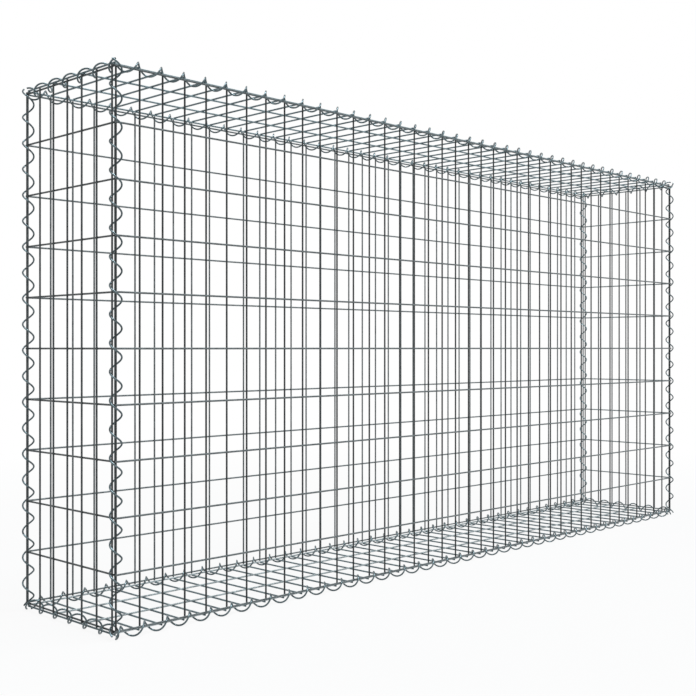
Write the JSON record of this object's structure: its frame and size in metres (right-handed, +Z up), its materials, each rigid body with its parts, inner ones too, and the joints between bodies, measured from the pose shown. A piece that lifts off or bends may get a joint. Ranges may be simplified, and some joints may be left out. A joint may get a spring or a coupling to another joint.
{
  "type": "gabion basket",
  "caption": "Closed box-shaped gabion basket of welded steel wire mesh, its panels laced along every edge with spiral wires, to be filled with stone for walls and slopes.",
  "frame": {"origin": "under the middle of the basket, on the plane that its lowest spirals rest on", "axes": "+X along the length to the right, +Y to the back, +Z up"},
  "size_m": [2.0208, 0.3342, 1.0276],
  "materials": {
    "mesh_wire": "hot-dip galvanised wire, dull zinc grey",
    "spiral_wire": "galvanised wire, slightly smoother and bluer than the mesh"
  },
  "bodies": {
    "root": {"front_mesh_left": "mesh_wire", "front_mesh_right": "mesh_wire", "back_mesh_left": "mesh_wire", "back_mesh_right": "mesh_wire", "left_end_mesh": "mesh_wire", "right_end_mesh": "mesh_wire", "base_mesh": "mesh_wire", "lid_mesh": "mesh_wire", "front_left_corner_spiral": "spiral_wire", "front_right_corner_spiral": "spiral_wire", "back_left_corner_spiral": "spiral_wire", "back_right_corner_spiral": "spiral_wire", "base_front_spiral": "spiral_wire", "base_back_spiral": "spiral_wire", "base_left_spiral": "spiral_wire", "base_right_spiral": "spiral_wire", "lid_front_spiral": "spiral_wire", "lid_back_spiral": "spiral_wire", "lid_left_spiral": "spiral_wire", "lid_right_spiral": "spiral_wire"}
  },
  "joints": []
}
